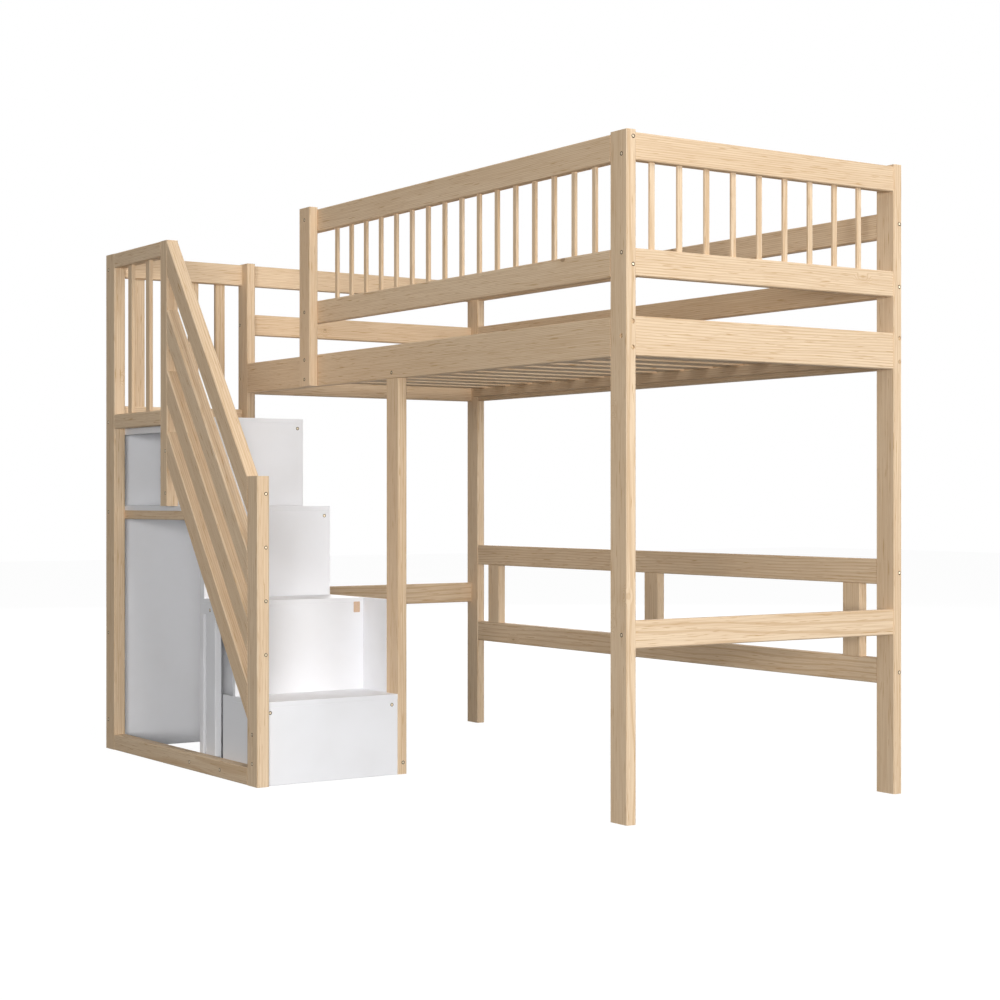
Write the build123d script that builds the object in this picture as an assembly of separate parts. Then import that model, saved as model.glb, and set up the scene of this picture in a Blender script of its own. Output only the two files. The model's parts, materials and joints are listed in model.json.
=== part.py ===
from build123d import *
import os

# A loft bed with a storage staircase at its head end. Lengths are in millimetres.
# X runs from the head end to the foot end, Y from the stairs at the front to the back, and Z is up.
# The origin is on the floor, in the middle of the overall length and width.

# Bed frame
bed_length = 2157.0
bed_width = 962.0
bed_height = 1740.0
head_post_height = 1612.0
post_width = 70.0
post_depth = 30.0
rail_thickness = 28.0
rail_height = 70.0
foot_rail_setback = 4.0
bed_rail_base = 1174.0
bed_rail_height = 100.0

# Guard rails round the mattress
guard_gap = 100.0
tall_rail_drop = 5.5
short_rail_drop = 2.0
entry_width = 423.5
guard_end_inset = 5.0
baluster_thickness = 9.0
tenon_length = 10.0
front_baluster_width = 17.0
front_baluster_first_gap = 72.0
front_baluster_gap = 72.5
foot_baluster_width = 16.0
foot_baluster_first_gap = 54.5
foot_baluster_gap = 74.0

# Slats
slat_width = 68.0
slat_gap = 71.0
slat_thickness = 18.0
slat_end_clearance = 2.0
slat_cleat_width = 20.0
slat_cleat_height = 30.0
slat_cleat_rise = 14.0

# Low rails between the end posts and at the back
stretcher_base = 440.0
back_lower_rail_base = 302.0
back_upper_rail_base = 578.0
upright_width = 70.0
upright_end_gap = 65.0
upright_count = 3

# Staircase boards
stair_width = 432.0
board_thickness = 15.0
first_step_height = 238.0
step_rise = 278.0
lower_going = 203.0
middle_going = 208.0
upper_going = 177.0
landing_length = 469.0
end_panel_inset = 15.0
first_box_length = 283.0
thin_back_thickness = 10.0
inner_panel_thickness = 8.0
shelf_rail_thickness = 20.0
shelf_rail_height = 28.0
cleat_depth = 21.0
cleat_height = 32.0
inner_cleat_setback = 9.0
stile_width = 62.0
stile_inset = 18.0

# Staircase frame
frame_thickness = 38.0
outer_post_reveal = 20.0
outer_post_width = 70.0
outer_post_height = 1614.0
hanging_post_width = 50.0
hanging_post_setback = 7.0
newel_width = 65.0
newel_height = 880.5
newel_reveal = 14.0
leg_reveal = 3.5
leg_lap_height = 50.0
leg_lap_thickness = 14.0
bottom_rail_height = 50.0

# Landing guard and slanted screen
landing_rail_height = 46.0
landing_rail_drop = 27.0
landing_baluster_width = 30.0
landing_baluster_thickness = 12.0
landing_baluster_gap = 108.5
end_guard_foot_height = 48.0
end_baluster_width = 35.0
end_baluster_thickness = 13.0
end_baluster_first_gap = 59.5
end_baluster_gap = 62.0
handrail_drop = 4.5
screen_board_width = 63.0
handrail_gap = 63.0
screen_board_gap = 49.5
screen_board_count = 3

# Bolts that hold the bed rails to the posts, and the barrel nuts in the rails
bolt_diameter = 6.0
bolt_head_diameter = 12.0
bolt_head_height = 2.5
bolt_recess_depth = 5.0
bolt_line_offset = 5.0
bolt_above_rail_base = 21.0
bolt_below_rail_top = 14.0
nut_diameter = 10.0
nut_length = 12.0
nut_from_rail_end = 30.0
drill_clearance = 0.25

# Edges
post_edge = 3.0
rail_edge = 2.5
strip_edge = 1.5
board_edge = 0.8

# Places along the bed
x_foot = (bed_length + outer_post_reveal) / 2
x_head = x_foot - bed_length
x_stair = x_head - outer_post_reveal
foot_post_x = (x_foot - post_width, x_foot)
head_post_x = (x_head, x_head + post_width)
foot_rail_x = (x_foot - foot_rail_setback - rail_thickness, x_foot - foot_rail_setback)
head_rail_x = (x_head, x_head + rail_thickness)
between_x = (head_post_x[1], foot_post_x[0])
gate_x = (head_post_x[1] + entry_width, head_post_x[1] + entry_width + post_width)
guard_x = (gate_x[0] + guard_end_inset, foot_post_x[0])

# Places across the bed
y_back = (bed_width + stair_width + frame_thickness) / 2
y_front = y_back - bed_width
y_stair = y_front - stair_width
front_post_y = (y_front, y_front + post_depth)
back_post_y = (y_back - post_depth, y_back)
front_rail_y = (y_front, y_front + rail_thickness)
back_rail_y = (y_back - rail_thickness, y_back)
between_y = (front_post_y[1], back_post_y[0])
frame_y = (y_stair - frame_thickness, y_stair)
stair_y = (y_stair, y_front)

# Heights of the bed's rails
bed_rail_z = (bed_rail_base, bed_rail_base + bed_rail_height)
lower_guard_z = (bed_rail_z[1] + guard_gap, bed_rail_z[1] + guard_gap + rail_height)
tall_guard_z = (bed_height - tall_rail_drop - rail_height, bed_height - tall_rail_drop)
short_guard_z = (head_post_height - short_rail_drop - rail_height, head_post_height - short_rail_drop)
stretcher_z = (stretcher_base, stretcher_base + rail_height)
back_lower_z = (back_lower_rail_base, back_lower_rail_base + rail_height)
back_upper_z = (back_upper_rail_base, back_upper_rail_base + rail_height)

# Places of the steps: the front face of each riser and the top and underside of each tread
end_panel_x = (x_stair + end_panel_inset, x_stair + end_panel_inset + board_thickness)
riser_4_x = end_panel_x[0] + landing_length
riser_3_x = riser_4_x + upper_going
riser_2_x = riser_3_x + middle_going
riser_1_x = riser_2_x + lower_going
step_top = [first_step_height + step * step_rise for step in range(4)]
step_under = [top - board_thickness for top in step_top]
divider_x = (riser_3_x - 2 * board_thickness, riser_3_x - board_thickness)
first_box_x = (riser_1_x - first_box_length, riser_1_x)

# Places of the staircase frame
outer_post_x = (x_stair, x_stair + outer_post_width)
hanging_post_x = (riser_4_x - hanging_post_setback - hanging_post_width, riser_4_x - hanging_post_setback)
newel_x = (riser_1_x + newel_reveal - newel_width, riser_1_x + newel_reveal)
leg_x = (riser_1_x + leg_reveal - post_width, riser_1_x + leg_reveal)
landing_lower_z = (step_top[3] - landing_rail_drop, step_top[3] - landing_rail_drop + landing_rail_height)
landing_top_z = (outer_post_height - landing_rail_height, outer_post_height)
end_guard_z = (step_top[3], step_top[3] + end_guard_foot_height)

parts = {}


def block(x, y, z):
    """A plain block between the low and high ends given along each axis."""
    low = Vector(x[0], y[0], z[0])
    high = Vector(x[1], y[1], z[1])
    size = high - low
    return Pos(*((low + high) / 2)) * Box(size.X, size.Y, size.Z)


def long_edges(body, x, y, z):
    """The edges that run the length of a board."""
    lengths = [x[1] - x[0], y[1] - y[0], z[1] - z[0]]
    along = (Axis.X, Axis.Y, Axis.Z)[lengths.index(max(lengths))]
    return body.edges().filter_by(along)


def timber(x, y, z, edge=rail_edge):
    """A rail or other length of planed timber with its long edges bevelled."""
    body = block(x, y, z)
    return chamfer(long_edges(body, x, y, z), edge)


def post(x, y, z):
    """A post, its edges bevelled a little more."""
    return timber(x, y, z, post_edge)


def strip(x, y, z):
    """A thin strip such as a baluster or a slat, its edges bevelled a little less."""
    return timber(x, y, z, strip_edge)


def panel(x, y, z):
    """A coated board: the edges of its two large faces are just broken."""
    body = block(x, y, z)
    lengths = [x[1] - x[0], y[1] - y[0], z[1] - z[0]]
    across = (Axis.X, Axis.Y, Axis.Z)[lengths.index(min(lengths))]
    faces = body.faces().filter_by(across)
    return chamfer(faces.edges(), board_edge)


def mortised(rail, pockets):
    """A rail with a square-cut pocket for each strip that stands in it."""
    for pocket in pockets:
        rail = rail - pocket
    return rail


def middle_of(limits):
    """The middle of a span."""
    return (limits[0] + limits[1]) / 2


def centred(limits, thickness):
    """The span of a strip set in the middle of a rail."""
    return (middle_of(limits) - thickness / 2, middle_of(limits) + thickness / 2)


def row_of_spans(start, direction, first_gap, width, gap, end):
    """Spans of equal strips that step away from a start, the last at least half a gap from the end."""
    room = abs(end - start) - first_gap + gap / 2
    count = int(room // (width + gap))
    near = [start + direction * (first_gap + step * (width + gap)) for step in range(count)]
    return [(min(edge, edge + direction * width), max(edge, edge + direction * width)) for edge in near]


# Bed posts
parts["foot_front_post"] = post(foot_post_x, front_post_y, (0, bed_height))
parts["foot_back_post"] = post(foot_post_x, back_post_y, (0, bed_height))
parts["head_front_post"] = post(head_post_x, front_post_y, (0, head_post_height))
parts["head_back_post"] = post(head_post_x, back_post_y, (0, head_post_height))

# Gate post, on the outside of the front rails beside the way in
gate_y = (y_front - post_depth, y_front)
parts["gate_post"] = post(gate_x, gate_y, (bed_rail_base, bed_height))


def middle_leg():
    """The leg at the first step, with a tongue lapped behind the front bed rail."""
    tongue_y = (front_rail_y[1] - leg_lap_thickness, front_rail_y[1])
    tongue_z = (bed_rail_base, bed_rail_base + leg_lap_height)
    leg = post(leg_x, front_post_y, (0, bed_rail_base))
    return leg + block((leg_x[0] + post_edge, leg_x[1] - post_edge), tongue_y, tongue_z)


# Middle leg and bed rails
parts["middle_leg"] = middle_leg()
parts["front_bed_rail"] = timber(between_x, front_rail_y, bed_rail_z) - parts["middle_leg"]
parts["back_bed_rail"] = timber(between_x, back_rail_y, bed_rail_z)
parts["foot_bed_rail"] = timber(foot_rail_x, between_y, bed_rail_z)
parts["head_bed_rail"] = timber(head_rail_x, between_y, bed_rail_z)

# Slats and the cleats that carry them
cleat_z = (bed_rail_base + slat_cleat_rise, bed_rail_base + slat_cleat_rise + slat_cleat_height)
front_cleat_y = (front_rail_y[1], front_rail_y[1] + slat_cleat_width)
back_cleat_y = (back_rail_y[0] - slat_cleat_width, back_rail_y[0])
parts["front_slat_cleat"] = strip(between_x, front_cleat_y, cleat_z)
parts["back_slat_cleat"] = strip(between_x, back_cleat_y, cleat_z)


def bed_slats():
    """Slats spread evenly over the length between the end posts."""
    pitch = slat_width + slat_gap
    length = between_x[1] - between_x[0]
    count = int((length + slat_gap) // pitch)
    start = (between_x[0] + between_x[1] - count * pitch + slat_gap) / 2
    slat_y = (front_rail_y[1] + slat_end_clearance, back_rail_y[0] - slat_end_clearance)
    slat_z = (cleat_z[1], cleat_z[1] + slat_thickness)
    lefts = [start + slat * pitch for slat in range(count)]
    return [strip((left, left + slat_width), slat_y, slat_z) for left in lefts]


parts["bed_slats"] = bed_slats()

# Front guard
front_tenon_y = centred(front_rail_y, baluster_thickness)
front_tenon_z = (lower_guard_z[1] - tenon_length, tall_guard_z[0] + tenon_length)
front_spans = row_of_spans(
    foot_post_x[0], -1, front_baluster_first_gap, front_baluster_width, front_baluster_gap, gate_x[1]
)
front_pockets = [block(span, front_tenon_y, front_tenon_z) for span in front_spans]
parts["front_guard_balusters"] = [strip(span, front_tenon_y, front_tenon_z) for span in front_spans]
parts["front_guard_lower_rail"] = mortised(timber(guard_x, front_rail_y, lower_guard_z), front_pockets)
parts["front_guard_top_rail"] = mortised(timber(guard_x, front_rail_y, tall_guard_z), front_pockets)

# Foot guard
foot_tenon_x = centred(foot_rail_x, baluster_thickness)
foot_spans = row_of_spans(
    front_post_y[1], 1, foot_baluster_first_gap, foot_baluster_width, foot_baluster_gap, back_post_y[0]
)
foot_pockets = [block(foot_tenon_x, span, front_tenon_z) for span in foot_spans]
parts["foot_guard_balusters"] = [strip(foot_tenon_x, span, front_tenon_z) for span in foot_spans]
parts["foot_guard_lower_rail"] = mortised(timber(foot_rail_x, between_y, lower_guard_z), foot_pockets)
parts["foot_guard_top_rail"] = mortised(timber(foot_rail_x, between_y, tall_guard_z), foot_pockets)

# Back and head guards
parts["back_guard_lower_rail"] = timber(between_x, back_rail_y, lower_guard_z)
parts["back_guard_top_rail"] = timber(between_x, back_rail_y, short_guard_z)
parts["head_guard_lower_rail"] = timber(head_rail_x, between_y, lower_guard_z)
parts["head_guard_top_rail"] = timber(head_rail_x, between_y, short_guard_z)

# Stretchers
parts["foot_stretcher"] = timber(foot_rail_x, between_y, stretcher_z)
parts["head_stretcher"] = timber(head_rail_x, between_y, stretcher_z)

# Low frame at the back
parts["back_frame_upper_rail"] = timber(between_x, back_rail_y, back_upper_z)
parts["back_frame_lower_rail"] = timber(between_x, back_rail_y, back_lower_z)


def back_frame_uprights():
    """Uprights between the two low back rails, spread evenly between the end ones."""
    first = between_x[0] + upright_end_gap
    last = between_x[1] - upright_end_gap - upright_width
    step = (last - first) / (upright_count - 1)
    lefts = [first + step * upright for upright in range(upright_count)]
    upright_z = (back_lower_z[1], back_upper_z[0])
    return [timber((left, left + upright_width), back_rail_y, upright_z) for left in lefts]


parts["back_frame_uprights"] = back_frame_uprights()

# Risers, each on the tread below it
parts["riser_1"] = panel((riser_1_x - board_thickness, riser_1_x), stair_y, (0, step_under[0]))
parts["riser_2"] = panel((riser_2_x - board_thickness, riser_2_x), stair_y, (step_top[0], step_under[1]))
parts["riser_3"] = panel((riser_3_x - board_thickness, riser_3_x), stair_y, (step_top[1], step_under[2]))
parts["riser_4"] = panel((riser_4_x - board_thickness, riser_4_x), stair_y, (step_top[2], step_under[3]))

# Treads, the third running on as the wardrobe's shelf, and the landing
parts["tread_1"] = panel(first_box_x, stair_y, (step_under[0], step_top[0]))
parts["tread_2"] = panel((divider_x[1], riser_2_x), stair_y, (step_under[1], step_top[1]))
parts["tread_3_shelf"] = panel((end_panel_x[1], riser_3_x), stair_y, (step_under[2], step_top[2]))
parts["landing_board"] = panel((end_panel_x[0], riser_4_x), stair_y, (step_under[3], step_top[3]))

# Upright boards of the boxes
side_y = (y_stair, y_stair + board_thickness)
first_side_x = (first_box_x[0], riser_1_x - board_thickness)
first_back_x = (first_box_x[0], first_box_x[0] + board_thickness)
thin_back_x = (divider_x[1], divider_x[1] + thin_back_thickness)
parts["step_1_side_panel"] = panel(first_side_x, side_y, (0, step_under[0]))
parts["step_1_back_panel"] = panel(first_back_x, (side_y[1], y_front), (0, step_under[0]))
parts["step_2_back_panel"] = panel(thin_back_x, stair_y, (0, step_under[1]))
parts["divider_panel"] = panel(divider_x, stair_y, (0, step_under[2]))
parts["wardrobe_end_panel"] = panel(end_panel_x, stair_y, (0, step_under[3]))

# Thin panels that close the side under the bed
inner_y = (y_front, y_front + inner_panel_thickness)
parts["inner_panels"] = [
    panel((divider_x[1], leg_x[0]), inner_y, (0, step_top[1])),
    panel((riser_4_x - board_thickness, divider_x[1]), inner_y, (0, step_under[2])),
    panel((head_post_x[1], riser_4_x - board_thickness), inner_y, (0, step_under[3])),
]


def cleat(x, y, top):
    """A white cleat screwed up under a board."""
    return timber(x, y, (top - cleat_height, top), board_edge)


# White cleats under the boards, and the stile beside the second step's opening
front_line_y = (y_stair, y_stair + cleat_depth)
inner_line_y = (y_front - inner_cleat_setback - cleat_depth, y_front - inner_cleat_setback)
under_landing_x = (end_panel_x[1], riser_4_x - board_thickness)
under_tread_2_x = (thin_back_x[1], riser_2_x - board_thickness)
corner_x = (under_landing_x[1] - cleat_depth, under_landing_x[1])
stile_x = (thin_back_x[1] + stile_inset, thin_back_x[1] + stile_inset + stile_width)
parts["front_cleats"] = [
    cleat(under_landing_x, front_line_y, step_under[3]),
    cleat(under_tread_2_x, front_line_y, step_under[1]),
    timber(corner_x, front_line_y, (step_top[2], step_under[3] - cleat_height), board_edge),
]
parts["inner_cleats"] = [
    cleat(under_landing_x, inner_line_y, step_under[3]),
    cleat((end_panel_x[1], divider_x[0]), inner_line_y, step_under[2]),
    cleat(under_tread_2_x, inner_line_y, step_under[1]),
    cleat((first_back_x[1], riser_1_x - board_thickness), inner_line_y, step_under[0]),
]
parts["step_2_stile"] = timber(stile_x, front_line_y, (0, step_under[1] - cleat_height), board_edge)

# Wooden rail under the front edge of the shelf
shelf_rail_y = (y_stair, y_stair + shelf_rail_thickness)
shelf_rail_z = (step_under[2] - shelf_rail_height, step_under[2])
parts["shelf_rail"] = timber((end_panel_x[1], divider_x[0]), shelf_rail_y, shelf_rail_z)

# Staircase frame
parts["stair_outer_post"] = post(outer_post_x, frame_y, (0, outer_post_height))
parts["hanging_post"] = post(hanging_post_x, frame_y, (step_top[2], outer_post_height))
parts["newel_post"] = post(newel_x, frame_y, (0, newel_height))
parts["stair_bottom_rail"] = timber((outer_post_x[1], newel_x[0]), frame_y, (0, bottom_rail_height))

# Outer guard of the landing
landing_rail_x = (outer_post_x[1], hanging_post_x[0])
landing_tenon_y = centred(frame_y, landing_baluster_thickness)
landing_tenon_z = (landing_lower_z[1] - tenon_length, landing_top_z[0] + tenon_length)
landing_spans = row_of_spans(
    hanging_post_x[0], -1, landing_baluster_gap, landing_baluster_width, landing_baluster_gap, outer_post_x[1]
)
landing_pockets = [block(span, landing_tenon_y, landing_tenon_z) for span in landing_spans]
landing_lower_rail = timber(landing_rail_x, frame_y, landing_lower_z)
landing_top_rail = timber(landing_rail_x, frame_y, landing_top_z)
parts["landing_guard_balusters"] = [strip(span, landing_tenon_y, landing_tenon_z) for span in landing_spans]
parts["landing_guard_lower_rail"] = mortised(landing_lower_rail, landing_pockets)
parts["landing_guard_top_rail"] = mortised(landing_top_rail, landing_pockets)

# Head guard of the landing, standing on the landing board
end_tenon_x = centred(head_rail_x, end_baluster_thickness)
end_tenon_z = (end_guard_z[1] - tenon_length, short_guard_z[0] + tenon_length)
end_spans = row_of_spans(
    y_front, -1, end_baluster_first_gap, end_baluster_width, end_baluster_gap, y_stair
)
end_pockets = [block(end_tenon_x, span, end_tenon_z) for span in end_spans]
parts["landing_end_balusters"] = [strip(end_tenon_x, span, end_tenon_z) for span in end_spans]
parts["landing_end_lower_rail"] = mortised(timber(head_rail_x, stair_y, end_guard_z), end_pockets)
parts["landing_end_top_rail"] = mortised(timber(head_rail_x, stair_y, short_guard_z), end_pockets)

# Slanted screen between the hanging post and the newel
screen_x = (hanging_post_x[1], newel_x[0])
handrail_high = outer_post_height - handrail_drop
screen_slope = Vector(screen_x[1] - screen_x[0], 0, newel_height - handrail_high)
upright_per_width = screen_slope.length / screen_slope.X


def slanted_board(down):
    """A sloping board cut upright at both posts, its top edge a drop below the handrail's."""
    high = handrail_high - down * upright_per_width
    low = newel_height - down * upright_per_width
    depth = screen_board_width * upright_per_width
    corners = [(screen_x[0], high), (screen_x[1], low), (screen_x[1], low - depth), (screen_x[0], high - depth)]
    face_plane = Plane(origin=(0, frame_y[1], 0), x_dir=(1, 0, 0), z_dir=(0, -1, 0))
    outline = face_plane * make_face(Polyline(*corners, close=True))
    body = extrude(outline, frame_thickness)
    return chamfer(body.edges().filter_by(Axis((0, 0, 0), screen_slope)), rail_edge)


first_board_down = screen_board_width + handrail_gap
board_step = screen_board_width + screen_board_gap
parts["handrail"] = slanted_board(0)
parts["screen_boards"] = [slanted_board(first_board_down + board_step * board) for board in range(screen_board_count)]

# Bolted joints between the bed rails and the posts
bolts = []
nuts = []
downwards = (Align.CENTER, Align.CENTER, Align.MAX)
upwards = (Align.CENTER, Align.CENTER, Align.MIN)


def flat_bolt(length):
    """A flat-headed bolt that is seated in its recess."""
    top = bolt_head_height - bolt_recess_depth
    head = Pos(0, 0, top) * Cylinder(bolt_head_diameter / 2, bolt_head_height, align=downwards)
    return head + Pos(0, 0, -bolt_recess_depth) * Cylinder(bolt_diameter / 2, length, align=downwards)


def bolt_drilling(depth):
    """A bolt's clearance hole with the recess for its head."""
    recess = Cylinder(bolt_head_diameter / 2 + drill_clearance, bolt_recess_depth, align=downwards)
    return recess + Cylinder(bolt_diameter / 2 + drill_clearance, depth, align=downwards)


def bolt_together(post_name, rail_name, face_point, outward, inner_side, post_size):
    """Bolt a rail's end to a post through the post's outer face, up to a barrel nut in the rail."""
    face = Plane(origin=face_point, z_dir=outward)
    nut_depth = post_size + nut_from_rail_end
    nut_plane = Plane(origin=Vector(face_point) - Vector(outward) * nut_depth, z_dir=inner_side)
    nut_bore = Cylinder(nut_diameter / 2 + drill_clearance, nut_length / 2 + rail_thickness, align=upwards)
    drilling = face * bolt_drilling(nut_depth)
    parts[post_name] = parts[post_name] - drilling
    parts[rail_name] = parts[rail_name] - drilling - nut_plane * Pos(0, 0, -nut_length / 2) * nut_bore
    nuts.append(nut_plane * Cylinder(nut_diameter / 2, nut_length))
    bolts.append(face * flat_bolt(nut_depth - nut_diameter / 2 - bolt_recess_depth))


bolt_heights = (bed_rail_z[0] + bolt_above_rail_base, bed_rail_z[1] - bolt_below_rail_top)
for side, rail_y, inner_side in (("front", front_rail_y, (0, 1, 0)), ("back", back_rail_y, (0, -1, 0))):
    bolt_y = middle_of(rail_y) + bolt_line_offset
    for end, end_x, outward in (("foot", x_foot, (1, 0, 0)), ("head", x_head, (-1, 0, 0))):
        for bolt_z in bolt_heights:
            face_point = (end_x, bolt_y, bolt_z)
            bolt_together(f"{end}_{side}_post", f"{side}_bed_rail", face_point, outward, inner_side, post_width)

end_lines = (
    ("foot", middle_of(foot_rail_x) - bolt_line_offset, (-1, 0, 0)),
    ("head", middle_of(head_rail_x), (1, 0, 0)),
)
for end, bolt_x, inner_side in end_lines:
    for side, side_y, outward in (("front", y_front, (0, -1, 0)), ("back", y_back, (0, 1, 0))):
        face_point = (bolt_x, side_y, middle_of(bed_rail_z))
        bolt_together(f"{end}_{side}_post", f"{end}_bed_rail", face_point, outward, inner_side, post_depth)

parts["bed_rail_bolts"] = bolts
parts["barrel_nuts"] = nuts

# One file for each sub-part
os.makedirs("parts", exist_ok=True)
for name, shape in parts.items():
    body = Compound(children=shape) if isinstance(shape, list) else shape
    export_step(body, f"parts/{name}.step")
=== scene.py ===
# %% [markdown]
# # A pine loft bed with storage stairs
#
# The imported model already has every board, post and rail at its real size. This lesson loads
# it, puts a camera where the photographer stood, and gives each board a finish made only of
# shader nodes: pale lacquered pine for the bed and the staircase frame, and a white coating for
# the boxes.

# %% Load the frame
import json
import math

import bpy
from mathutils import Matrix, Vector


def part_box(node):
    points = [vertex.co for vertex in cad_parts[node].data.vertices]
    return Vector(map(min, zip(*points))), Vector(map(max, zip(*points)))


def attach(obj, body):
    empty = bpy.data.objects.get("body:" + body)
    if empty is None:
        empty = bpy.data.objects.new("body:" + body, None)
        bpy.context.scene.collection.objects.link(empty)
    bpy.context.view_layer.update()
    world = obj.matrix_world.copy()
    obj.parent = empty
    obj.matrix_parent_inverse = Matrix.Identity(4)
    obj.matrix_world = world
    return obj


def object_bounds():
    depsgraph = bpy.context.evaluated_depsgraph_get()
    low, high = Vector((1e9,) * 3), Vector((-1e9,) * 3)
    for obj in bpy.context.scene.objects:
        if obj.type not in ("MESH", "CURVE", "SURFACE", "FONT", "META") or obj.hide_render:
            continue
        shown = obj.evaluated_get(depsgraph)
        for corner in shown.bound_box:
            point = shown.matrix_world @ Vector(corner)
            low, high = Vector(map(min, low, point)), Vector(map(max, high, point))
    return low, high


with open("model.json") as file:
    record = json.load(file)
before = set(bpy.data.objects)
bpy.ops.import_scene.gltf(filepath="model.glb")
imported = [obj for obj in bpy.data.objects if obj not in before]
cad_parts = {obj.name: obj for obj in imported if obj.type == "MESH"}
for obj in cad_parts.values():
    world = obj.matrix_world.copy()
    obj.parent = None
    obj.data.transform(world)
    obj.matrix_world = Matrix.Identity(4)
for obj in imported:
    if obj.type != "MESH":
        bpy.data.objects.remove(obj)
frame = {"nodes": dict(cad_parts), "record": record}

# %% [markdown]
# ## Measure first
#
# Everything that is placed later takes its position from the boards themselves, so the first
# thing to do is to measure the whole object and keep the result.

cad_low, cad_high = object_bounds()
print("overall size", [round(side, 3) for side in cad_high - cad_low])

# %% [markdown]
# ## The camera
#
# The photograph was taken level, from the foot end and a little to the front, from about four
# metres away. Level means that the upright edges stay upright in the picture. The distance sets
# how fast the long rails converge, and the lens then sets how large the bed stands in the
# frame.

# %% Place the camera
camera_place = (4.9443, -3.2376, 0.8126)
camera_turn = math.radians(55.91)
lens_mm = 70.32
sensor_mm = 36.0

bpy.ops.object.select_all(action="DESELECT")
bpy.ops.object.camera_add(location=camera_place, rotation=(math.radians(90), 0, camera_turn))
camera = bpy.context.object
camera.name = "photo_camera"
camera.data.lens = lens_mm
camera.data.sensor_width = sensor_mm
camera.data.sensor_fit = "HORIZONTAL"
camera.data.clip_end = 100
bpy.context.scene.camera = camera
bpy.context.scene.view_settings.view_transform = "Standard"
print("camera distance", round((camera.location - (cad_low + cad_high) / 2).length, 2))

# %% [markdown]
# ## Helpers for shader nodes
#
# A shader is a graph. Two short helpers keep its description readable: one adds a node with its
# settings, the other adds a Math node, which is the most common kind.

# %% Shader helpers
def add_node(tree, kind, inputs=None, **settings):
    """Add a node, set its properties, then fill or link its inputs."""
    node = tree.nodes.new(kind)
    for setting, value in settings.items():
        setattr(node, setting, value)
    for socket, value in (inputs or {}).items():
        if isinstance(value, bpy.types.NodeSocket):
            tree.links.new(value, node.inputs[socket])
        else:
            node.inputs[socket].default_value = value
    return node


def math_node(tree, operation, first, second=0.0):
    """A Math node's result."""
    return add_node(tree, "ShaderNodeMath", {0: first, 1: second}, operation=operation).outputs[0]


def ramp(tree, value, low, high, result_low=0.0, result_high=1.0):
    """A smooth step from one value to another."""
    inputs = {
        "Value": value, "From Min": low, "From Max": high,
        "To Min": result_low, "To Max": result_high,
    }
    return add_node(tree, "ShaderNodeMapRange", inputs, interpolation_type="SMOOTHSTEP").outputs[0]


def mix_colour(tree, amount, first, second):
    """Two colours mixed by an amount."""
    node = add_node(tree, "ShaderNodeMix", data_type="RGBA")
    for socket, value in ((0, amount), (6, first), (7, second)):
        if isinstance(value, bpy.types.NodeSocket):
            tree.links.new(value, node.inputs[socket])
        else:
            node.inputs[socket].default_value = value
    return node.outputs[2]


def new_group(name, inputs, outputs):
    """An empty node group with named sockets, given as (name, type, default)."""
    group = bpy.data.node_groups.new(name, "ShaderNodeTree")
    for label, kind, default in inputs:
        socket = group.interface.new_socket(name=label, in_out="INPUT", socket_type=kind)
        if default is not None:
            socket.default_value = default
    for label, kind in outputs:
        group.interface.new_socket(name=label, in_out="OUTPUT", socket_type=kind)
    start = group.nodes.new("NodeGroupInput")
    end = group.nodes.new("NodeGroupOutput")
    return group, start, end


# %% [markdown]
# ## Pine, seen as a solid
#
# Wood is not a picture stuck on a board: it is a solid full of nested rings round the middle of
# the trunk, and each face shows where the saw passed through them. So the pattern is made in
# three dimensions. Rings run along the grain, a slow noise makes them wander, and every face of
# a board then shows lines that meet at its edges, as real ones do. Knots are small balls
# scattered through the same solid, and the rings bend round them.

# %% The pine group
value_kind = "NodeSocketFloat"
colour_kind = "NodeSocketColor"
vector_kind = "NodeSocketVector"
pine_inputs = [
    ("Vector", vector_kind, None),
    ("Early wood", colour_kind, (0.795, 0.625, 0.44, 1)),
    ("Late wood", colour_kind, (0.53, 0.335, 0.17, 1)),
    ("Knot", colour_kind, (0.24, 0.12, 0.055, 1)),
    ("Ring scale", value_kind, 72.0),
    ("Ring strength", value_kind, 0.46),
    ("Knot size", value_kind, 0.05),
]
pine_outputs = [("Color", colour_kind), ("Roughness", value_kind), ("Height", value_kind)]
pine_group, pine_in, pine_out = new_group("pine_solid", pine_inputs, pine_outputs)


def along_grain(tree, vector, share):
    """Coordinates squeezed along Z, so that a pattern made in them is drawn out along the grain."""
    squeeze = add_node(tree, "ShaderNodeMapping", {"Vector": vector, "Scale": (1, 1, share)})
    return squeeze.outputs[0]


def drawn_out_noise(tree, vector, share, scale, detail):
    """Noise whose spots are drawn out along the grain."""
    inputs = {"Vector": along_grain(tree, vector, share), "Scale": scale, "Detail": detail}
    return add_node(tree, "ShaderNodeTexNoise", inputs).outputs["Fac"]


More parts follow.
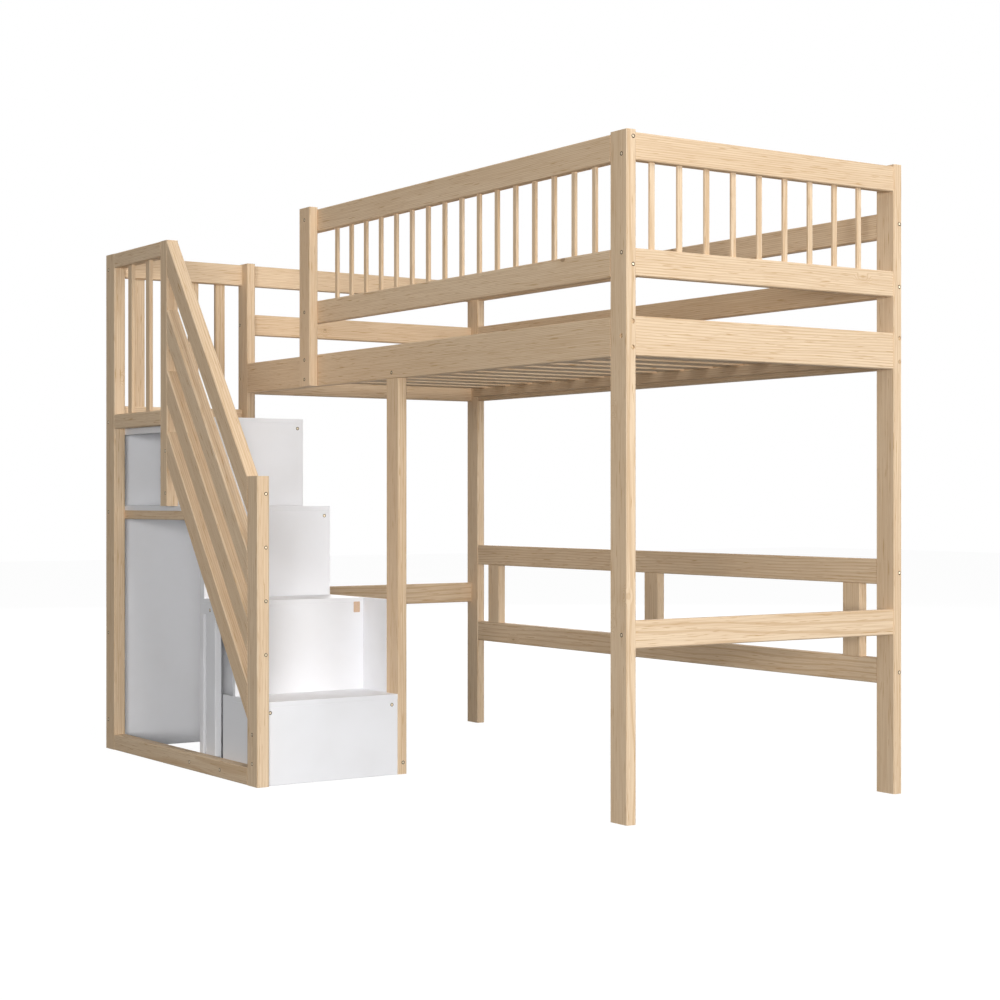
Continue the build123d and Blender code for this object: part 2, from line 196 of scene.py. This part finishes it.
def build_pine(tree, start, end):
    """Fill the pine group. The grain runs along Z of the vector that it is given."""
    place = start.outputs["Vector"]
    early_wood = start.outputs["Early wood"]
    late_wood = start.outputs["Late wood"]

    # knots: balls drawn out along the grain, in about half of the cells
    knots_per_metre = 6.5
    share_without = 0.45
    heart_core = 0.03
    halo_edge, halo_core = 0.16, 0.04
    knots = add_node(
        tree, "ShaderNodeTexVoronoi",
        {"Vector": along_grain(tree, place, 0.6), "Scale": knots_per_metre}, feature="F1",
    )
    chance = add_node(tree, "ShaderNodeSeparateColor", {"Color": knots.outputs["Color"]}).outputs[0]
    chosen = math_node(tree, "GREATER_THAN", chance, share_without)
    distance = knots.outputs["Distance"]
    in_heart = ramp(tree, distance, start.outputs["Knot size"], heart_core)
    in_halo = ramp(tree, distance, halo_edge, halo_core)
    knot_heart = math_node(tree, "MULTIPLY", in_heart, chosen)
    knot_halo = math_node(tree, "MULTIPLY", in_halo, chosen)

    # rings wander slowly along the grain and bend round the knots
    knot_bend = 0.02
    bend = math_node(tree, "MULTIPLY", knot_halo, knot_bend)
    slow = along_grain(tree, place, 0.22)
    bent = add_node(tree, "ShaderNodeVectorMath", {0: slow, 1: bend}, operation="ADD").outputs[0]
    ring_inputs = {
        "Vector": bent, "Scale": start.outputs["Ring scale"], "Distortion": 9.0,
        "Detail": 1.5, "Detail Scale": 0.12, "Detail Roughness": 0.45,
    }
    rings = add_node(
        tree, "ShaderNodeTexWave", ring_inputs,
        wave_type="RINGS", rings_direction="Z", wave_profile="SIN",
    )
    late = ramp(tree, rings.outputs["Fac"], 0.62, 1.0)
    strength = math_node(tree, "MULTIPLY", late, start.outputs["Ring strength"])
    ringed = mix_colour(tree, strength, early_wood, late_wood)

    # fine fibres, long and thin
    fibre_depth = 0.40
    fibres = drawn_out_noise(tree, place, share=0.009, scale=640.0, detail=2.0)
    fibre_amount = ramp(tree, fibres, 0.56, 0.38, 0.0, fibre_depth)
    fibred = mix_colour(tree, fibre_amount, ringed, late_wood)

    # short dark dashes, where a bundle of fibres is cut along
    dashes = drawn_out_noise(tree, place, share=0.04, scale=380.0, detail=1.0)
    dash_amount = ramp(tree, dashes, 0.63, 0.74)
    streaked = mix_colour(tree, dash_amount, fibred, late_wood)

    # the tone drifts from board to board
    drift_depth = 0.55
    darkest_drift = 0.35
    tone = drawn_out_noise(tree, place, share=0.07, scale=8.0, detail=1.0)
    tone_amount = ramp(tree, tone, 0.34, 0.66, 0.0, drift_depth)
    darker = mix_colour(tree, darkest_drift, streaked, late_wood)
    toned = mix_colour(tree, tone_amount, streaked, darker)

    # knots last, with a warm halo round each
    halo_depth = 0.22
    heart_depth = 0.6
    halo_amount = math_node(tree, "MULTIPLY", knot_halo, halo_depth)
    heart_amount = math_node(tree, "MULTIPLY", knot_heart, heart_depth)
    warmed = mix_colour(tree, halo_amount, toned, late_wood)
    knotted = mix_colour(tree, heart_amount, warmed, start.outputs["Knot"])

    # dense late wood is a little smoother and stands a little higher
    early_roughness = 0.72
    late_change = -0.06
    late_height = 0.4
    smoothing = math_node(tree, "MULTIPLY", late, late_change)
    rough = math_node(tree, "ADD", smoothing, early_roughness)
    raised = math_node(tree, "MULTIPLY", late, late_height)
    height = math_node(tree, "ADD", raised, fibres)
    tree.links.new(knotted, end.inputs["Color"])
    tree.links.new(rough, end.inputs["Roughness"])
    tree.links.new(height, end.inputs["Height"])


build_pine(pine_group, pine_in, pine_out)
print("pine group nodes", len(pine_group.nodes))

# %% [markdown]
# ## One pine, four directions
#
# A board's grain runs along it. The same group is therefore placed in four materials, and a
# Mapping node in each turns the board's length onto the group's Z: upright posts, rails along
# the bed, rails and slats across it, and the sloping boards of the screen.

# %% Pine materials
def bump_node(tree, height, strength, distance):
    """A Bump node's normal."""
    return add_node(
        tree, "ShaderNodeBump", {"Height": height, "Strength": strength, "Distance": distance}
    ).outputs["Normal"]


def new_material(name):
    """A material with an empty graph but for its output and its Principled shader."""
    material = bpy.data.materials.new(name)
    material.use_nodes = True
    tree = material.node_tree
    tree.nodes.clear()
    shader = tree.nodes.new("ShaderNodeBsdfPrincipled")
    output = tree.nodes.new("ShaderNodeOutputMaterial")
    tree.links.new(shader.outputs[0], output.inputs["Surface"])
    return material, tree, shader


def pine_material(name, turn, shift):
    """Lacquered pine whose grain is turned from the board's own direction onto Z."""
    material, tree, shader = new_material(name)
    place = add_node(tree, "ShaderNodeTexCoord").outputs["Object"]
    turn_inputs = {"Vector": place, "Rotation": turn, "Location": shift}
    turned = add_node(tree, "ShaderNodeMapping", turn_inputs)
    pine = add_node(tree, "ShaderNodeGroup", node_tree=pine_group)
    tree.links.new(turned.outputs[0], pine.inputs["Vector"])
    tree.links.new(pine.outputs["Color"], shader.inputs["Base Color"])
    tree.links.new(pine.outputs["Roughness"], shader.inputs["Roughness"])
    grain_bump = bump_node(tree, pine.outputs["Height"], strength=0.18, distance=0.0004)
    tree.links.new(grain_bump, shader.inputs["Normal"])
    shader.inputs["Specular IOR Level"].default_value = 0.2
    shader.inputs["Coat Weight"].default_value = 0.06
    shader.inputs["Coat Roughness"].default_value = 0.38
    return material


quarter = math.radians(90)
rail_low, rail_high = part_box("handrail")
newel_low, newel_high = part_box("newel_post")
slope = math.atan2(rail_high.z - newel_high.z, rail_high.x - rail_low.x)
upright_turn = (0, 0, math.radians(24))
lengthwise_turn = (math.radians(33), quarter, 0)
crosswise_turn = (quarter, 0, math.radians(20))
sloping_turn = (0, quarter - slope, 0)
pine_upright = pine_material("pine_upright", upright_turn, shift=(0.31, 0.17, 0))
pine_lengthwise = pine_material("pine_lengthwise", lengthwise_turn, shift=(0.23, 0.41, 0))
pine_crosswise = pine_material("pine_crosswise", crosswise_turn, shift=(0.12, 0.35, 0))
pine_sloping = pine_material("pine_sloping", sloping_turn, shift=(0.52, 0.11, 0))

# %% [markdown]
# ## The white coating
#
# The boxes are coated boards. The coating is nearly flat, but it is never one perfect colour:
# it has a very fine stipple from the press, and a slow change in sheen from handling.

# %% The coated board group and its material
coat_inputs = [
    ("Vector", vector_kind, None),
    ("Coating", colour_kind, (0.83, 0.832, 0.852, 1)),
    ("Shade", colour_kind, (0.76, 0.755, 0.76, 1)),
]
coat_outputs = [("Color", colour_kind), ("Roughness", value_kind), ("Height", value_kind)]
coat_group, coat_in, coat_out = new_group("coated_board", coat_inputs, coat_outputs)


def build_coating(tree, start, end):
    """Fill the coating group: a slow drift in tone and sheen over a fine stipple."""
    place = start.outputs["Vector"]
    drift_inputs = {"Vector": place, "Scale": 5.0, "Detail": 3.0}
    stipple_inputs = {"Vector": place, "Scale": 900.0, "Detail": 2.0}
    drift = add_node(tree, "ShaderNodeTexNoise", drift_inputs).outputs["Fac"]
    stipple = add_node(tree, "ShaderNodeTexNoise", stipple_inputs).outputs["Fac"]
    shade_depth = 0.45
    glossy_roughness, dull_roughness = 0.50, 0.60
    amount = ramp(tree, drift, 0.35, 0.75, 0.0, shade_depth)
    colour = mix_colour(tree, amount, start.outputs["Coating"], start.outputs["Shade"])
    rough = ramp(tree, drift, 0.3, 0.7, glossy_roughness, dull_roughness)
    tree.links.new(colour, end.inputs["Color"])
    tree.links.new(rough, end.inputs["Roughness"])
    tree.links.new(stipple, end.inputs["Height"])


build_coating(coat_group, coat_in, coat_out)
white_coating, white_tree, white_shader = new_material("white_coating")
white_place = add_node(white_tree, "ShaderNodeTexCoord").outputs["Object"]
white_group = add_node(white_tree, "ShaderNodeGroup", node_tree=coat_group)
white_tree.links.new(white_place, white_group.inputs["Vector"])
white_tree.links.new(white_group.outputs["Color"], white_shader.inputs["Base Color"])
white_tree.links.new(white_group.outputs["Roughness"], white_shader.inputs["Roughness"])
white_bump = bump_node(white_tree, white_group.outputs["Height"], strength=0.08, distance=0.0002)
white_tree.links.new(white_bump, white_shader.inputs["Normal"])
white_shader.inputs["Specular IOR Level"].default_value = 0.3

# %% [markdown]
# ## Steel, painted hole shade and card
#
# The bolts and screws are small, so their finish only has to catch the light in the right way:
# a warm metal with a fine brushed roughness. The hole round each head is only a hair deep, so
# its shadow is painted: the hole gets a dark finish of its own, which is painted shade. A small
# plate of tan card is the fourth. All four have the same fine speckle, so the speckle is one
# group, and each material gives it two tones and a roughness.

# %% The speckle group
speckle_inputs = [
    ("Vector", vector_kind, None),
    ("First tone", colour_kind, None),
    ("Second tone", colour_kind, None),
    ("Roughness", value_kind, 0.5),
]
speckle_outputs = [("Color", colour_kind), ("Roughness", value_kind), ("Height", value_kind)]
speckle_group, speckle_in, speckle_out = new_group("fine_speckle", speckle_inputs, speckle_outputs)


def build_speckle(tree, start, end):
    """Fill the speckle group: fine spots that change the tone, the roughness and the height."""
    speckle_scale = 700.0
    roughness_range = 0.12
    noise_inputs = {"Vector": start.outputs["Vector"], "Scale": speckle_scale, "Detail": 2.0}
    speckle = add_node(tree, "ShaderNodeTexNoise", noise_inputs).outputs["Fac"]
    spots = ramp(tree, speckle, 0.35, 0.65)
    colour = mix_colour(tree, spots, start.outputs["First tone"], start.outputs["Second tone"])
    smoothest = start.outputs["Roughness"]
    roughest = math_node(tree, "ADD", smoothest, roughness_range)
    rough = ramp(tree, speckle, 0.3, 0.7, smoothest, roughest)
    tree.links.new(colour, end.inputs["Color"])
    tree.links.new(rough, end.inputs["Roughness"])
    tree.links.new(speckle, end.inputs["Height"])


build_speckle(speckle_group, speckle_in, speckle_out)
print("speckle group nodes", len(speckle_group.nodes))


# %% Steel, painted hole shade and card
def speckled_material(name, first, second, metallic, roughness):
    """A small part's finish: two close tones in a fine speckle."""
    material, tree, shader = new_material(name)
    place = add_node(tree, "ShaderNodeTexCoord").outputs["Object"]
    group_inputs = {
        "Vector": place, "First tone": first, "Second tone": second, "Roughness": roughness,
    }
    speckle = add_node(tree, "ShaderNodeGroup", group_inputs, node_tree=speckle_group)
    speckle_bump = bump_node(tree, speckle.outputs["Height"], strength=0.1, distance=0.0001)
    tree.links.new(speckle.outputs["Color"], shader.inputs["Base Color"])
    tree.links.new(speckle.outputs["Roughness"], shader.inputs["Roughness"])
    tree.links.new(speckle_bump, shader.inputs["Normal"])
    shader.inputs["Metallic"].default_value = metallic
    return material


brass_steel = speckled_material(
    "brass_steel", (0.86, 0.74, 0.55, 1), (0.70, 0.57, 0.39, 1), metallic=1.0, roughness=0.34
)
bolt_steel = speckled_material(
    "bolt_steel", (0.50, 0.37, 0.235, 1), (0.38, 0.27, 0.16, 1), metallic=1.0, roughness=0.5
)
# painted shade: a dark brown that stands for the shadow inside each screw hole and its socket
painted_hole_shade = speckled_material(
    "painted_hole_shade", (0.060, 0.033, 0.017, 1), (0.035, 0.020, 0.011, 1), metallic=0.0, roughness=0.8
)
tan_card = speckled_material(
    "tan_card", (0.66, 0.47, 0.33, 1), (0.58, 0.40, 0.27, 1), metallic=0.0, roughness=0.5
)
small_finishes = (brass_steel, bolt_steel, painted_hole_shade, tan_card)
print("small finishes", [material.name for material in small_finishes])

# %% [markdown]
# ## Dress the boards
#
# A board's name says what it is, and its box says which way it runs: the longest side is the
# grain. Rows of strips, such as slats and balusters, are one node each, so their direction is
# told by name.

# %% Give each board its finish
along_pine = {"x": pine_lengthwise, "y": pine_crosswise, "z": pine_upright}
row_directions = {
    "bed_slats": "y",
    "front_guard_balusters": "z",
    "foot_guard_balusters": "z",
    "landing_guard_balusters": "z",
    "landing_end_balusters": "z",
    "back_frame_uprights": "z",
}
record = frame["record"]
slot_of = {part["node"]: part["material_slot"] for part in record["subparts"]}


def longest_side(node):
    """The letter of the axis along which a node is longest."""
    low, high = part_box(node)
    sides = high - low
    return "xyz"[list(sides).index(max(sides))]


def finish_for(node):
    """The finish that a node's board has."""
    if slot_of[node] == "white_board":
        return white_coating
    if slot_of[node] == "hardware":
        return bolt_steel
    if node in ("handrail", "screen_boards"):
        return pine_sloping
    return along_pine[row_directions.get(node) or longest_side(node)]


for node_name, board in frame["nodes"].items():
    for board_slot in board.material_slots:
        board_slot.material = finish_for(node_name)
print("boards dressed", len(frame["nodes"]))

# %% [markdown]
# ## One sunk screw head
#
# Every screw sits in a drilled hole with its head level with the wood. The head is modelled
# once. It starts as a short cylinder; its top is inset and pushed down a hair for the hole, and
# inset again and raised for the head, with a small socket sunk into the middle. It stands a
# hair above the board's face, because the board below it is solid there. The hole and the
# socket are dark with painted shade, which stands for the shadow in a deeper hole.

# %% Model the screw head
screw_sides = 24
screw_length = 0.003
hole_radius = 0.0054
hole_rim = 0.0003
hole_depth = 0.0002
head_gap = 0.0021
head_rise = 0.00015
socket_rim = 0.0020
socket_sink = 0.00012
stands_proud = 0.0003
slack = 0.0001
facing_up = 0.9


def reshape_top(inset, lift):
    """Inset the selected top face, then move it up or down."""
    bpy.ops.mesh.inset(thickness=inset, use_even_offset=True)
    bpy.ops.mesh.extrude_region_move(TRANSFORM_OT_translate={"value": (0, 0, lift)})


bpy.ops.object.select_all(action="DESELECT")
bpy.ops.mesh.primitive_cylinder_add(
    vertices=screw_sides, radius=hole_radius, depth=screw_length, location=(0, 0, 0)
)
screw = bpy.context.object
screw.name = "screw_pattern"
bpy.ops.object.mode_set(mode="EDIT")
bpy.ops.mesh.select_all(action="DESELECT")
bpy.ops.object.mode_set(mode="OBJECT")
for face in screw.data.polygons:
    face.select = face.normal.z > facing_up
bpy.ops.object.mode_set(mode="EDIT")
bpy.context.tool_settings.mesh_select_mode = (False, False, True)
reshape_top(hole_rim, -hole_depth)
reshape_top(head_gap, head_rise)
reshape_top(socket_rim, -socket_sink)
bpy.ops.object.mode_set(mode="OBJECT")
# painted shade: the first finish, dark, goes on the hole's rim and floor and on the socket
screw.data.materials.append(painted_hole_shade)
screw.data.materials.append(brass_steel)
head_radius = hole_radius - hole_rim - head_gap
socket_radius = head_radius - socket_rim
# the head's ring gets the metal; the hole and the socket keep the painted shade
for face in screw.data.polygons:
    from_axis = Vector(face.center[:2]).length
    between_rims = socket_radius + slack < from_axis < head_radius + slack
    on_head = face.center.z > 0 and between_rims
    face.material_index = 1 if on_head else 0
screw_top = max(corner.co.z for corner in screw.data.vertices)
print("screw faces", len(screw.data.polygons))

# %% [markdown]
# ## Where the screws are
#
# Screws follow the joints. Each one goes through a post into the end of a rail, so its height
# comes from the rail and its side step from the post. The list is built up joint by joint, each
# place with the direction that its head faces.

# %% Note a screw
x_out, x_in = Vector((1, 0, 0)), Vector((-1, 0, 0))
y_out, y_in = Vector((0, 1, 0)), Vector((0, -1, 0))
z_up, z_down = Vector((0, 0, 1)), Vector((0, 0, -1))
screw_places = []


def span_of(node, axis):
    """A node's lowest and highest place along an axis."""
    low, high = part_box(node)
    return low[axis], high[axis]


def height_on(node, share):
    """A height part of the way up a rail."""
    low, high = span_of(node, 2)
    return low + share * (high - low)


def add_screw(x, y, z, facing):
    """Note one screw."""
    screw_places.append((Vector((x, y, z)), facing))


foot_x = span_of("foot_front_post", 0)[1]
head_x = span_of("head_front_post", 0)[0]
front_y = span_of("foot_front_post", 1)[0]
back_y = span_of("foot_back_post", 1)[1]
print("bed faces", [round(face_place, 4) for face_place in (foot_x, head_x, front_y, back_y)])

# %% Screws of the end rails
# from the front and from the back: each share is the way up the rail
foot_rail_inset = 0.022
head_rail_inset = 0.014
foot_rails = (
    ("foot_guard_top_rail", 0.22), ("foot_guard_lower_rail", 0.84), ("foot_stretcher", 0.49),
)
head_rails = (("head_guard_lower_rail", 0.47), ("head_stretcher", 0.49))
for rail, share in foot_rails:
    add_screw(foot_x - foot_rail_inset, front_y, height_on(rail, share), y_in)
    add_screw(foot_x - foot_rail_inset, back_y, height_on(rail, share), y_out)
for rail, share in head_rails:
    add_screw(head_x + head_rail_inset, front_y, height_on(rail, share), y_in)
    add_screw(head_x + head_rail_inset, back_y, height_on(rail, share), y_out)
add_screw(head_x + head_rail_inset, back_y, height_on("head_guard_top_rail", 0.5), y_out)
print("screws so far", len(screw_places))

# %% Screws of the long rails
# from the two ends of the bed
front_rail_inset = 0.020
back_rail_inset = 0.010
front_rails = (("front_guard_top_rail", 0.83), ("front_guard_lower_rail", 0.41))
back_rails = (
    ("back_guard_top_rail", 0.51), ("back_guard_lower_rail", 0.40),
    ("back_frame_upper_rail", 0.47), ("back_frame_lower_rail", 0.48),
)
for rail, share in front_rails:
    add_screw(foot_x, front_y + front_rail_inset, height_on(rail, share), x_out)
for rail, share in back_rails:
    add_screw(foot_x, back_y - back_rail_inset, height_on(rail, share), x_out)
    add_screw(head_x, back_y - back_rail_inset, height_on(rail, share), x_in)
print("screws so far", len(screw_places))

# %% Screws of the gate post and the middle leg
# gate post: through its face into the three front rails
gate_low, gate_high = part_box("gate_post")
gate_middle = (gate_low.x + gate_high.x) / 2
gate_joints = (
    ("front_guard_top_rail", 0.52), ("front_guard_lower_rail", 0.49),
    ("front_bed_rail", 0.83), ("front_bed_rail", 0.21),
)
for rail, share in gate_joints:
    add_screw(gate_middle, gate_low.y, height_on(rail, share), y_in)

# middle leg: one through the bed rail into its tongue, one low on its side
tongue_screw_step = 0.0045
tongue_screw_share = 0.18
leg_screw_inset = 0.0167
leg_screw_height = 0.0345
leg_low, leg_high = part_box("middle_leg")
tongue_screw_x = (leg_low.x + leg_high.x) / 2 - tongue_screw_step
add_screw(tongue_screw_x, front_y, height_on("front_bed_rail", tongue_screw_share), y_in)
add_screw(leg_high.x, leg_low.y + leg_screw_inset, leg_screw_height, x_out)
print("screws so far", len(screw_places))

# %% Screws of the low back frame
# into its uprights, in pairs from above and below
upright_half = 0.035
pair_half_step = 0.018
upright_low, upright_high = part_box("back_frame_uprights")
upright_middles = (
    upright_low.x + upright_half,
    (upright_low.x + upright_high.x) / 2,
    upright_high.x - upright_half,
)
rail_middle_y = (upright_low.y + upright_high.y) / 2
back_frame_top = span_of("back_frame_upper_rail", 2)[1]
back_frame_bottom = span_of("back_frame_lower_rail", 2)[0]
for upright_x in upright_middles:
    for side_step in (-pair_half_step, pair_half_step):
        add_screw(upright_x + side_step, rail_middle_y, back_frame_top, z_up)
        add_screw(upright_x + side_step, rail_middle_y, back_frame_bottom, z_down)
print("screws so far", len(screw_places))

# %% [markdown]
# The staircase frame is screwed in the same way. Its boards slope, so the screws in their ends
# are told by how far each one is below the top of the post or board that it holds.

# %% Screws of the staircase posts
outer_screw_inset = 0.021
outer_screw_heights = (1.565, 1.067, 0.7735, 0.379, 0.095)
outer_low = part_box("stair_outer_post")[0]
for screw_height in outer_screw_heights:
    add_screw(outer_low.x + outer_screw_inset, outer_low.y, screw_height, y_in)
hanging_screw_inset = 0.012
hanging_screw_rises = (0.170, 0.040)
hanging_low, hanging_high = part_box("hanging_post")
for rise in hanging_screw_rises:
    add_screw(hanging_high.x - hanging_screw_inset, hanging_low.y, hanging_low.z + rise, y_in)
print("screws so far", len(screw_places))

# %% Screws of the sloping boards
# from behind the hanging post: each drop is below the top end of the boards
sloping_screw_inset = 0.019
sloping_screw_drops = (0.0232, 0.2088, 0.377)
handrail_screw_drop = 0.052
screen_top = span_of("screen_boards", 2)[1]
sloping_screw_y = rail_low.y + sloping_screw_inset
for drop in sloping_screw_drops:
    add_screw(hanging_low.x, sloping_screw_y, screen_top - drop, x_in)
add_screw(hanging_low.x, sloping_screw_y, rail_high.z - handrail_screw_drop, x_in)

# newel post: four into the sloping boards, two low into the first step
newel_side_inset = 0.027
newel_screw_drops = (0.0505, 0.2025, 0.3545, 0.5065)
newel_front_inset = 0.032
newel_front_heights = (0.147, 0.064)
for drop in newel_screw_drops:
    add_screw(newel_high.x, newel_low.y + newel_side_inset, newel_high.z - drop, x_out)
for screw_height in newel_front_heights:
    add_screw(newel_low.x + newel_front_inset, newel_low.y, screw_height, y_in)
print("screws so far", len(screw_places))

# %% Screws of the boxes
# bottom rail: into the divider and the panel at the back of the first step
bottom_rail_share = 0.48
divider_screw_step = 0.007
box_back_screw_step = 0.057
divider_screw_x = span_of("divider_panel", 0)[0] + divider_screw_step
box_back_screw_x = span_of("step_1_back_panel", 0)[0] + box_back_screw_step
for screw_x in (divider_screw_x, box_back_screw_x):
    add_screw(screw_x, newel_low.y, height_on("stair_bottom_rail", bottom_rail_share), y_in)

# white boards, screwed into the cleats behind them
cleat_inset = 0.020
first_step_inset = 0.010
board_screw_drop = 0.0155
stile_screw_inset = 0.027
stile_screw_rise = 0.013
for riser in ("riser_4", "riser_3", "riser_1"):
    riser_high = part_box(riser)[1]
    screw_height = riser_high.z - board_screw_drop
    add_screw(riser_high.x, riser_high.y - cleat_inset, screw_height, x_out)
first_low, first_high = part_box("riser_1")
first_screw_height = first_high.z - board_screw_drop
add_screw(first_high.x, first_low.y + first_step_inset, first_screw_height, x_out)
stile_low, stile_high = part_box("step_2_stile")
stile_screw_height = stile_high.z + stile_screw_rise
add_screw(stile_low.x + stile_screw_inset, stile_low.y, stile_screw_height, y_in)
print("screws", len(screw_places))

# %% Copy the screw to every place
copies = []
for place, facing in screw_places:
    copy = bpy.data.objects.new("screw_copy", screw.data.copy())
    bpy.context.collection.objects.link(copy)
    turn = z_up.rotation_difference(facing).to_matrix().to_4x4()
    seat = Matrix.Translation(place + facing * (stands_proud - screw_top))
    copy.data.transform(seat @ turn)
    copies.append(copy)
bpy.ops.object.select_all(action="DESELECT")
for copy in copies:
    copy.select_set(True)
bpy.context.view_layer.objects.active = copies[0]
bpy.ops.object.join()
screw_heads = bpy.context.object
screw_heads.name = "screw_heads"
bpy.data.objects.remove(screw)
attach(screw_heads, "root")
print("screw head faces", len(screw_heads.data.polygons))

# %% [markdown]
# ## The bare plate
#
# A small tan plate sits in the upper corner of the second riser. It is a thin block with its
# corners rounded and a shallow bare field sunk into its face.

# %% Model the plate
plate_width = 0.0217
plate_height = 0.0322
plate_thickness = 0.0012
plate_step_in = 0.0228
plate_middle_height = 0.4877
plate_corner = 0.0020
field_rim = 0.0012
field_sink = 0.0003
plate_proud = 0.0006

facing_out = 0.9
riser_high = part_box("riser_2")[1]
bpy.ops.object.select_all(action="DESELECT")
bpy.ops.mesh.primitive_cube_add(size=1, location=(0, 0, 0))
plate = bpy.context.object
plate.name = "bare_plate"
bpy.ops.object.mode_set(mode="EDIT")
bpy.ops.mesh.select_all(action="SELECT")
bpy.ops.transform.resize(value=(plate_thickness, plate_width, plate_height))
bpy.ops.mesh.select_all(action="DESELECT")
bpy.ops.object.mode_set(mode="OBJECT")
for edge in plate.data.edges:
    first, second = (plate.data.vertices[corner].co for corner in edge.vertices)
    edge.select = abs(first.x - second.x) > plate_thickness / 2
bpy.ops.object.mode_set(mode="EDIT")
bpy.context.tool_settings.mesh_select_mode = (False, True, False)
bpy.ops.mesh.bevel(offset=plate_corner, segments=4)
bpy.ops.mesh.select_all(action="DESELECT")
bpy.ops.object.mode_set(mode="OBJECT")
for face in plate.data.polygons:
    face.select = face.normal.x > facing_out
bpy.ops.object.mode_set(mode="EDIT")
bpy.context.tool_settings.mesh_select_mode = (False, False, True)
bpy.ops.mesh.inset(thickness=field_rim)
bpy.ops.mesh.extrude_region_move(TRANSFORM_OT_translate={"value": (-field_sink, 0, 0)})
bpy.ops.object.mode_set(mode="OBJECT")
plate_x = riser_high.x + plate_proud - plate_thickness / 2
plate_y = riser_high.y - plate_step_in
plate.data.transform(Matrix.Translation((plate_x, plate_y, plate_middle_height)))
plate.data.materials.append(tan_card)
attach(plate, "root")
print("plate faces", len(plate.data.polygons))

# %% [markdown]
# ## A plain studio
#
# The photograph is on white paper. The floor is a large pale plane. Seen by the camera it
# glows, so that it reads as white, and it still takes the bed's soft shadow. One large soft
# lamp stands far off the foot end and a little to the front: it makes the end faces the
# brightest and looks into the open boxes. A second one stands where the lacquer throws its
# light back to the camera, which pales the end faces. A high one over the foot end lights the
# treads and reaches down between the slats, a weak one behind the head end keeps the far sides
# readable, and the plain air of the studio fills in the rest.

# %% Floor and world
floor_size = 40
floor_drop = 0.0005
glow_strength = 0.96
shadow_grey = (0.10, 0.10, 0.10, 1)
bounce_grey = (0.13, 0.13, 0.13, 1)
white = (1, 1, 1, 1)
ambient = 0.15

bpy.ops.object.select_all(action="DESELECT")
bpy.ops.mesh.primitive_plane_add(size=floor_size, location=(0, 0, cad_low.z - floor_drop))
floor = bpy.context.object
floor.name = "studio_floor"

paper = bpy.data.materials.new("white_paper")
paper.use_nodes = True
paper_tree = paper.node_tree
paper_tree.nodes.clear()
paper_output = paper_tree.nodes.new("ShaderNodeOutputMaterial")


def seen_directly(tree):
    """One where the camera sees a surface straight, in a gloss or through glass, else nought."""
    rays = add_node(tree, "ShaderNodeLightPath")
    camera_ray = rays.outputs["Is Camera Ray"]
    glossy_ray = rays.outputs["Is Glossy Ray"]
    straight = math_node(tree, "MAXIMUM", camera_ray, glossy_ray)
    return math_node(tree, "MAXIMUM", straight, rays.outputs["Is Transmission Ray"])


paper_shadow = add_node(paper_tree, "ShaderNodeBsdfDiffuse", {"Color": shadow_grey})
glow_inputs = {"Color": white, "Strength": glow_strength}
paper_glow = add_node(paper_tree, "ShaderNodeEmission", glow_inputs)
paper_white = add_node(
    paper_tree, "ShaderNodeAddShader", {0: paper_shadow.outputs[0], 1: paper_glow.outputs[0]}
)
paper_bounce = add_node(paper_tree, "ShaderNodeBsdfDiffuse", {"Color": bounce_grey})
paper_mix = add_node(
    paper_tree, "ShaderNodeMixShader",
    {0: seen_directly(paper_tree), 1: paper_bounce.outputs[0], 2: paper_white.outputs[0]},
)
paper_tree.links.new(paper_mix.outputs[0], paper_output.inputs["Surface"])
floor.data.materials.append(paper)

world = bpy.data.worlds.new("studio_air")
bpy.context.scene.world = world
world.use_nodes = True
world_tree = world.node_tree
world_tree.nodes.clear()
world_output = world_tree.nodes.new("ShaderNodeOutputWorld")
world_strength = ramp(world_tree, seen_directly(world_tree), 0.0, 1.0, ambient, 1.0)
world_inputs = {"Color": white, "Strength": world_strength}
world_glow = add_node(world_tree, "ShaderNodeBackground", world_inputs)
world_tree.links.new(world_glow.outputs[0], world_output.inputs["Surface"])


# %% Lamps
def soft_lamp(name, place, width, height, watts):
    """An area lamp that points at the middle of the bed."""
    aim = middle - Vector(place)
    turn = aim.to_track_quat("-Z", "Y").to_euler()
    bpy.ops.object.select_all(action="DESELECT")
    bpy.ops.object.light_add(type="AREA", location=place, rotation=turn)
    lamp = bpy.context.object
    lamp.name = name
    lamp.data.shape = "RECTANGLE"
    lamp.data.size = width
    lamp.data.size_y = height
    lamp.data.energy = watts


middle = (cad_low + cad_high) / 2
soft_lamp("foot_end_lamp", (7.9, -6.2, 1.15), width=4.0, height=2.2, watts=590)
soft_lamp("sheen_lamp", (7.5, 4.9, 1.15), width=4.5, height=2.2, watts=180)
soft_lamp("high_lamp", (6.3, -0.4, 8.5), width=5.0, height=5.0, watts=550)
soft_lamp("back_lamp", (-7.5, 4.0, 3.0), width=4.0, height=3.0, watts=320)
lamps = [thing for thing in bpy.context.scene.objects if thing.type == "LIGHT"]
print("lamps", [lamp.name for lamp in lamps])
